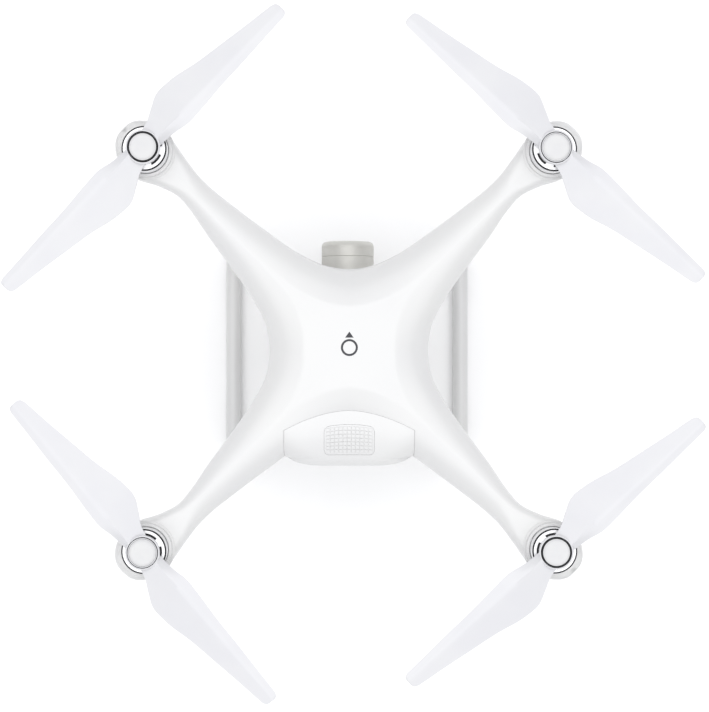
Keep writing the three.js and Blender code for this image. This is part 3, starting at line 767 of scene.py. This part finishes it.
def propeller(at, level, angle, turn, cells=56, across=18):
    """Two blades as one bent plate with a crest along each, and a hub ring."""
    bm = bmesh.new()
    bmesh.ops.create_cube(bm, size=2)
    lengthwise = [e for e in bm.edges if abs(e.verts[0].co.x - e.verts[1].co.x) > 1]
    bmesh.ops.subdivide_edges(bm, edges=lengthwise, cuts=2 * cells - 1, use_grid_fill=True)
    crosswise = [e for e in bm.edges if abs(e.verts[0].co.y - e.verts[1].co.y) > 1]
    bmesh.ops.subdivide_edges(bm, edges=crosswise, cuts=across - 1, use_grid_fill=True)
    tip = BLADE[-1][0]
    for vert in bm.verts:
        side = math.copysign(1, vert.co.x)
        number = abs(vert.co.x) * (len(BLADE) - 1)
        trailing, leading, thick = [line(number) for line in BLADE_LINES]
        u = trailing.x
        share = (math.sin(vert.co.y * side * turn * math.pi / 2) + 1) / 2
        centre = min(u / 10, 1)
        chord = leading.y + (trailing.y - leading.y) * share
        chord = chord * centre + (share * 2 - 1) * 7 * (1 - centre)
        pitch = math.radians(15 + (6 - 15) * u / tip) * min(u / 24, 1)
        crest_share = (CREST - leading.y) / (trailing.y - leading.y)
        beyond = (share - crest_share) / (1 - crest_share)
        lift = share / crest_share if share < crest_share else 1 - 0.72 * beyond
        top = thick.y * (0.1 + 0.95 * lift)
        bottom = -thick.y * 0.35 * (1 - (2 * share - 1) ** 2)
        z = level - chord * math.tan(pitch) + (top if vert.co.z > 0 else bottom)
        vert.co = (side * u, side * chord * turn, z)
    hub_low, hub_high = level - 2.9, level + 5.1
    hub = lathe([(5, hub_low), (9.6, hub_low), (9.9, hub_low + 0.5), (10.5, hub_high - 0.9),
        (10.2, hub_high - 0.3),
                 (9.7, hub_high), (5, hub_high)])
    bore = lathe([(0, hub_low - 4), (9.5, hub_low - 4), (9.5, hub_high + 4), (0, hub_high + 4)])
    outward(bm)
    whole = worked(bm, add(hub), cut(bore))
    bmesh.ops.rotate(whole, verts=whole.verts, cent=(0, 0, 0),
        matrix=Matrix.Rotation(math.radians(angle), 3, "Z"))
    bmesh.ops.translate(whole, verts=whole.verts, vec=(*at, 0))
    return whole


def sector(inner, outer, low, high, degrees, at):
    """A slice of a ring."""
    bm = bmesh.new()
    corners = [(inner, low), (outer, low), (outer, high), (inner, high)]
    face = bm.faces.new([bm.verts.new((r, 0, z)) for r, z in corners])
    bmesh.ops.spin(bm, geom=[face], axis=(0, 0, 1), cent=(0, 0, 0), angle=math.radians(degrees), steps=12)
    bmesh.ops.translate(bm, verts=bm.verts, vec=(*at, 0))
    outward(bm)
    return bm


def bell(at, low, high, r, phase, windows=5, wide=44):
    """The motor's spinning can: a groove round its side, a rebate at its crown and a ring of
    windows in its top."""
    wall, roof = 1.6, 2.8
    can = lathe([
        (0, low + 0.8), (2, low + 0.8), (2, high - roof), (r - wall, high - roof), (r - wall, low),
        (r - 0.3, low),
        (r, low + 0.3), (r, high - 11), (r - 0.3, high - 10.8), (r - 0.3, high - 10.4), (r, high - 10.2),
        (r, high - 1.3), (r - 0.9, high - 1.3), (r - 0.9, high), (6, high), (5.6, high + 0.2),
        (0, high + 0.2),
    ], at=at, steps=96)
    window = sector(9.7, 11.1, high - roof - 1, high + 1, wide, at)
    turn = Matrix.Rotation(math.radians(phase - wide / 2), 3, "Z")
    bmesh.ops.rotate(window, verts=window.verts, cent=(*at, 0), matrix=turn)
    return worked(can, cut(spread_round(window, windows, (*at, 0))))


def windings(at, low, high, count=12):
    """Copper coils round the stator's teeth."""
    coil = soften(block((at[0] + 5.2, at[1] - 1.35, low), (at[0] + 10.9, at[1] + 1.35, high)), 0.8, 3)
    return spread_round(coil, count, (*at, 0))


def add_motor(corner, x, y):
    at = (x * MOTOR.x, y * MOTOR.y)
    rotor = f"rotor_{corner}"
    bell_low, bell_high = extent(f"motor_bell_{corner}")
    r = (bell_high.x - bell_low.x) / 2
    angle, turn, phase = HANDS[corner]
    top = bell_high.z
    piece(f"motor_can_{corner}", bell(at, bell_low.z, top, r, phase), "motor_metal", rotor,
          f"motor_bell_{corner}", axis=at)
    # A black ring in the rebate at the bell's crown edge: painted shade that stands for the dark shadow
    # line round the top of the bell.
    piece(f"crown_shade_ring_{corner}", lathe([
        (r - 0.85, top - 1.28), (r, top - 1.28), (r + 0.05, top - 0.8), (r, top - 0.3),
        (r - 0.25, top - 0.02),
        (r - 0.7, top - 0.02), (r - 0.85, top - 0.2)], at=at, steps=96), "lock_black", rotor)

    foot_low, foot_high = extent(f"motor_stator_{corner}")
    foot = (foot_high.x - foot_low.x) / 2
    piece(f"motor_base_{corner}", lathe([
        (2.4, foot_low.z), (foot, foot_low.z), (foot, foot_low.z + 1.1), (foot - 0.4, foot_low.z + 1.5),
        (5, foot_low.z + 1.5), (4.6, foot_high.z - 1), (2.4, foot_high.z)], at=at),
        "motor_metal", stands_for=f"motor_stator_{corner}", axis=at)
    piece(f"motor_windings_{corner}", windings(at, foot_low.z + 3, foot_high.z - 2.2), "winding")
    piece(f"stator_cover_{corner}", soften(lathe([
        (4.9, foot_high.z - 1.9), (11, foot_high.z - 1.9), (11, foot_high.z - 0.2),
        (4.9, foot_high.z - 0.2)], at=at), 0.3, 2),
        "dark_plastic")

    lock_low, lock_high = extent(f"propeller_lock_{corner}")
    ring = (lock_high.x - lock_low.x) / 2
    lock = "lock_black" if turn > 0 else "lock_silver"
    top = lock_high.z
    piece(f"lock_ring_{corner}", lathe([
        (ring - 0.95, lock_low.z), (ring, lock_low.z), (ring, top - 0.3), (ring - 0.15, top),
        (ring - 0.8, top),
        (ring - 0.95, top - 0.15)], at=at, steps=96), lock, rotor, f"propeller_lock_{corner}")
    cap = ring - 0.98
    piece(f"lock_cap_{corner}", lathe([
        (0, lock_low.z), (cap, lock_low.z), (cap, top - 0.2), (cap - 0.4, top - 0.1),
        (cap - 0.7, top - 0.35),
        (cap - 1.5, top - 0.6), (cap - 3, top - 0.6), (2.5, top - 0.35), (0, top - 0.25)], at=at, steps=96),
        "cap", rotor)
    piece(f"propeller_blades_{corner}", propeller(at, BLADE_LEVEL, angle, turn), "propeller", rotor,
          f"propeller_{corner}", crease=30)

    light_low, light_high = extent(f"arm_light_{corner}")
    reach = (light_high.x - light_low.x) / 2
    base = light_low.z
    ridges = [(reach - 0.9 * n, base + 0.35 * (n % 2)) for n in range(1, 8)]
    piece(f"arm_lamp_{corner}", lathe([
        (0, light_high.z), (reach, light_high.z), (reach, base + 0.4), *ridges, (0, base + 0.2)], at=at),
        "red_light" if y < 0 else "green_light", stands_for=f"arm_light_{corner}")


# ---- landing gear


def bay_room(clear=0.4):
    """The room that the battery and its bay need, open to the rear so that the battery slides."""
    low, high = extent("battery_bay")
    return block((low.x - clear, low.y - clear, low.z - clear),
        (high.x + clear, CAP["rear"] + 20, high.z + clear))


def add_landing_gear():
    for side, x in SIDES:
        low, high = extent(f"landing_gear_{side}")
        skid_x = middle(f"landing_pad_front_{side}").x
        r = abs((high if x > 0 else low).x - skid_x)
        floor = low.z + r
        half = [(39, 40.5, 128, 1.9), (44, 44, 116, 1.62), (52, 50, 92, 1.24), (61, 57, 66, 1.08),
                (70, 63.8, 38, 1.02), (75.6, 67.6, 20, 1.0), (77.4, 67.2, floor + 4, 1.0),
                (abs(skid_x), 63, floor + 0.9, 1.0),
                (abs(skid_x), 54, floor, 1.0), (abs(skid_x), 36, floor, 1.0), (abs(skid_x), 12, floor, 1.0)]
        route = [(x * px, -py, pz, s) for px, py, pz, s in half] + [(x * px, py, pz, s) for px, py, pz,
            s in half[::-1]]
        line = bpy.data.curves.new("route", "CURVE")
        line.dimensions = "3D"
        line.bevel_depth = r
        line.bevel_resolution = 8
        line.use_fill_caps = True
        line.resolution_u = 10
        spline = line.splines.new("NURBS")
        spline.points.add(len(route) - 1)
        for point, (px, py, pz, scale) in zip(spline.points, route):
            point.co = (px, py, pz, 1)
            point.radius = scale
        spline.order_u = 4
        spline.use_endpoint_u = True
        holder = bpy.data.objects.new("route", line)
        bpy.context.scene.collection.objects.link(holder)
        bpy.context.view_layer.update()
        bm = bmesh.new()
        mesh = holder.to_mesh()
        bm.from_mesh(mesh)
        holder.to_mesh_clear()
        bpy.data.objects.remove(holder)
        bmesh.ops.remove_doubles(bm, verts=bm.verts, dist=1e-3)
        outward(bm)
        bm = worked(bm, cut(cap_room(CAP["low"] - 0.8, CAP["high"])), cut(bay_room()))
        outward(bm)
        piece(f"landing_leg_{side}", bm, "shell", stands_for=f"landing_gear_{side}")
    for corner, _, _ in CORNERS:
        low, high = extent(f"landing_pad_{corner}")
        centre = (low + high) / 2
        pad = soften(slab(rounded_outline(centre.xy, (high.x - low.x, high.y - low.y), 2), low.z + 0.5,
            high.z), 0.3, 2)
        rib = soften(block((low.x + 0.8, centre.y - 6.4, low.z),
            (high.x - 0.8, centre.y - 5.4, low.z + 0.9)), 0.25, 2)
        ribs = [rib]
        for n in range(1, 6):
            more = rib.copy()
            bmesh.ops.translate(more, verts=more.verts, vec=(0, 2.36 * n, 0))
            ribs.append(more)
        piece(f"skid_pad_{corner}", together(pad, *ribs), "rubber", stands_for=f"landing_pad_{corner}")


# ---- belly, gimbal and camera


def refine(names, finish_name, body=AIRFRAME, width=0.5, segments=2):
    """CAD pieces with plain flat sides, given softened edges."""
    for name in names:
        piece(f"{name}_part", soften(from_cad(name), width, segments), finish_name, body, name)


def add_inside():
    refine(["battery_bay"], "dark_plastic", width=0.5)
    refine(["battery_connector"], "dark_plastic", width=0.6)
    refine(["main_board"], "board", width=0.2)
    refine(["satellite_module"], "dark_plastic", width=0.5)
    refine(["core_frame"], "core_metal", width=0.4)


def lens(name, body, stands_for, axis, bulge=1.6):
    """A round window that bulges from its bezel, on the side that faces out."""
    low, high = extent(stands_for)
    centre = (low + high) / 2
    if axis == "Y":
        r, at, outer, inner = (high.x - low.x) / 2, (centre.x, centre.z), low.y, high.y
    else:
        r, at, outer, inner = (high.x - low.x) / 2, (centre.x, centre.y), low.z, high.z
    section = [(0, inner), (r, inner), (r, outer + 0.3), (r - 0.3, outer), (r - 0.8, outer),
        (r - 1, outer + 0.5), (r * 0.68, outer + 0.7)]
    dome = [(r * 0.66 * math.cos(t), outer + 0.8 - bulge * 0.5 * math.sin(t)) for t in (0, 0.3, 0.6, 0.9,
        1.2, math.pi / 2)]
    piece(name, lathe(section + dome[:-1] + [(0, dome[-1][1])], at=at, axis=axis), "lens_glass", body,
        stands_for)


def add_sensors():
    refine(["downward_sensor_plate"], "dark_plastic", width=0.7, segments=3)
    for side, _ in SIDES:
        lens(f"vision_lens_{side}", AIRFRAME, f"front_vision_lens_{side}", "Y")
        lens(f"belly_lens_{side}", AIRFRAME, f"downward_lens_{side}", "Z")
        low, high = extent(f"ultrasonic_sensor_{side}")
        at = ((low.x + high.x) / 2, (low.y + high.y) / 2)
        r = (high.x - low.x) / 2
        grooves = []
        for n in range(5):
            edge = r - 1.3 - 0.9 * n
            grooves += [(edge, low.z + 0.15), (edge - 0.15, low.z + 0.5), (edge - 0.45, low.z + 0.5),
                (edge - 0.6, low.z + 0.15)]
        piece(f"ultrasonic_can_{side}", lathe([
            (0, high.z), (r, high.z), (r, low.z + 0.4), (r - 0.4, low.z), (r - 1, low.z), *grooves,
            (0, low.z + 0.15)],
            at=at), "core_metal", stands_for=f"ultrasonic_sensor_{side}")


def add_gimbal():
    refine(["gimbal_mount_board"], "dark_plastic", width=0.5)
    refine(["gimbal_plate"], "camera_grey", width=0.5)
    for end, _ in ENDS:
        for side, _ in SIDES:
            name = f"gimbal_damper_{end}_{side}"
            low, high = extent(name)
            at = ((low.x + high.x) / 2, (low.y + high.y) / 2)
            r = (high.x - low.x) / 2
            tall = high.z - low.z
            folds = [(0, 0), (0.72, 0), (0.78, 0.06), (0.7, 0.14), (0.62, 0.2), (0.9, 0.32), (1, 0.44),
                (1, 0.56),
                     (0.9, 0.68), (0.62, 0.8), (0.7, 0.86), (0.78, 0.94), (0.72, 1), (0, 1)]
            piece(f"damper_{end}_{side}", lathe([(r * a, low.z + tall * b) for a, b in folds], at=at,
                steps=40),
                  "rubber", stands_for=name)
    low, high = extent("gimbal_yaw_motor")
    at = ((low.x + high.x) / 2, (low.y + high.y) / 2)
    r = (high.x - low.x) / 2
    piece("yaw_motor_can", lathe([
        (0, low.z), (r - 0.6, low.z), (r, low.z + 0.6), (r, low.z + 2.6), (r - 0.3, low.z + 2.8),
        (r - 0.3, low.z + 3.2),
        (r, low.z + 3.4), (r, high.z - 0.4), (r - 0.4, high.z), (0, high.z)], at=at),
        "camera_grey", stands_for="gimbal_yaw_motor")
    refine(["gimbal_yaw_arm"], "camera_grey", "gimbal_yaw_part", 0.9, 3)
    refine(["gimbal_roll_arm"], "camera_grey", "gimbal_roll_part", 0.7, 3)
    low, high = extent("gimbal_roll_motor")
    at = ((low.x + high.x) / 2, (low.z + high.z) / 2)
    r = (high.x - low.x) / 2
    piece("roll_motor_can", lathe([
        (0, low.y), (r - 0.5, low.y), (r, low.y + 0.5), (r, low.y + 2.2), (r - 0.3, low.y + 2.4),
        (r - 0.3, low.y + 2.8),
        (r, low.y + 3), (r, high.y - 0.8), (r - 0.8, high.y), (0, high.y)], at=at, axis="Y"),
        "camera_grey", "gimbal_yaw_part", "gimbal_roll_motor")
    low, high = extent("gimbal_pitch_motor")
    at = ((low.y + high.y) / 2, (low.z + high.z) / 2)
    r = (high.z - low.z) / 2
    piece("pitch_motor_can", lathe([
        (0, low.x), (r - 0.4, low.x), (r, low.x + 0.4), (r, low.x + 4), (r - 0.3, low.x + 4.2),
        (r - 0.3, low.x + 4.6),
        (r, low.x + 4.8), (r, high.x - 0.5), (r - 0.5, high.x), (0, high.x)], at=at, axis="X"),
        "camera_grey", "gimbal_roll_part", "gimbal_pitch_motor")


def add_camera_unit():
    """The camera's barrel: body, front shroud with its rings, and the lens."""
    low, high = extent("camera_body")
    at = ((low.x + high.x) / 2, (low.z + high.z) / 2)
    r = (high.x - low.x) / 2
    piece("camera_casing", lathe([
        (0, high.y), (r - 5, high.y), (r - 2.4, high.y - 0.5), (r - 0.9, high.y - 1.6),
        (r - 0.2, high.y - 3.2),
        (r, high.y - 5), (r, low.y - 0.05), (r - 0.2, low.y - 0.25), (0, low.y - 0.25)], at=at, axis="Y",
        steps=96),
        "camera_grey", "camera", "camera_body")
    low, high = extent("camera_lens_shroud")
    front = low.y
    piece("camera_front_shroud", lathe([
        (0, high.y), (r - 0.25, high.y), (r, high.y - 0.25), (r, front + 4.6), (r - 0.12, front + 4.5),
        (r - 0.12, front + 4.3),
        (r, front + 4.2), (r, front + 3.4), (r - 0.12, front + 3.3), (r - 0.12, front + 3.1),
        (r - 0.02, front + 3),
        (r - 0.6, front + 1.4), (r - 1.5, front + 0.5), (r - 2.6, front + 0.05), (12.4, front),
        (11.6, front + 0.4),
        (11.3, front + 2.2), (10.9, front + 2.4), (10.7, front + 4), (0, front + 4.1)], at=at, axis="Y",
        steps=96),
        "camera_grey", "camera", "camera_lens_shroud")
    low, high = extent("camera_lens_glass")
    rim, dome = (high.x - low.x) / 2, 6.2
    curve = [(dome * math.cos(t), low.y + 1.6 - 1.5 * math.sin(t)) for t in (0.15, 0.4, 0.7, 1.0, 1.3)]
    piece("camera_lens", lathe([
        (0, high.y), (rim, high.y), (rim, high.y - 0.6), (9.4, high.y - 0.6), (9.2, high.y - 1.1),
        (8.4, high.y - 1.1),
        (8.2, high.y - 0.8), (7.4, high.y - 0.8), (7.1, low.y + 1.7), (6.5, low.y + 1.7), *curve,
        (0, low.y + 0.1)],
        at=at, axis="Y", steps=96), "lens_glass", "camera", "camera_lens_glass")


# ---- fasteners


def screw(at, under, r=1.9, tall=1.4):
    """A socket-head screw whose head faces down, its recess a hexagon."""
    head = lathe([(0, under + tall), (r, under + tall), (r, under + 0.3), (r - 0.3, under), (0, under)],
        at=at, steps=32)
    socket = lathe([(0, under - 1), (r * 0.5, under - 1), (r * 0.5, under + 0.8), (0, under + 0.8)],
        at=at, steps=6)
    return worked(head, cut(socket))


def add_screws():
    for corner, x, y in CORNERS:
        at = Vector((x * MOTOR.x, y * MOTOR.y))
        under = extent(f"arm_light_{corner}")[0].z
        turns = [math.radians(45 + 90 * n) for n in range(4)]
        spots = [at + Vector((math.cos(t), math.sin(t))) * 11.2 for t in turns]
        piece(f"motor_screws_{corner}", together(*[screw(spot, under + 0.4) for spot in spots]), "screw")


# ---- printed mark


def add_direction_mark(radius=5.2, stroke=1.3, lead=4.6):
    """A plain printed mark on the crown: a ring with a wedge that points to the nose."""
    centre = Vector((0, -1.5))
    level = shell_height(*centre)
    low, high = level - 0.6, level + 0.07
    ring = lathe([(radius - stroke, low), (radius, low), (radius, high), (radius - stroke, high)],
        at=centre)
    wedge = slab([(centre.x - 2.6, centre.y - radius - 0.9), (centre.x, centre.y - radius - lead),
                  (centre.x + 2.6, centre.y - radius - 0.9)], low, high)
    piece("direction_mark", together(ring, wedge), "print")


# ---- the whole craft

add_camera()
add_shells()
add_battery()
add_latches()
for corner_name, corner_x, corner_y in CORNERS:
    add_motor(corner_name, corner_x, corner_y)
add_landing_gear()
add_inside()
add_sensors()
add_gimbal()
add_camera_unit()
add_screws()
add_direction_mark()

floor_mesh = bmesh.new()
bmesh.ops.create_grid(floor_mesh, x_segments=1, y_segments=1, size=12)
floor_data = bpy.data.meshes.new("floor")
floor_mesh.to_mesh(floor_data)
floor = bpy.data.objects.new("floor", floor_data)
floor_data.materials.append(finish("matt white studio paper", "#FBFBFB", "#FAFAFA", 300, (0.8, 0.9), 2,
    0.01))
bpy.context.scene.collection.objects.link(floor)

add_light("overhead_softbox", (0, 0, 2.6), 3.2, 45)
world = bpy.data.worlds.new("pale studio")
world.use_nodes = True
sky = world.node_tree.nodes["Background"]
sky.inputs["Color"].default_value = (0.975, 0.98, 1.0, 1.0)
direction = node(world.node_tree, "TexCoord").outputs["Generated"]
height = node(world.node_tree, "SeparateXYZ", links={"Vector": direction}).outputs["Z"]
brightness = node(world.node_tree, "MapRange", values={"To Min": 0.45, "To Max": 1.1},
    links={"Value": height})
world.node_tree.links.new(brightness.outputs["Result"], sky.inputs["Strength"])
bpy.context.scene.world = world
bpy.context.scene.view_settings.view_transform = "Standard"
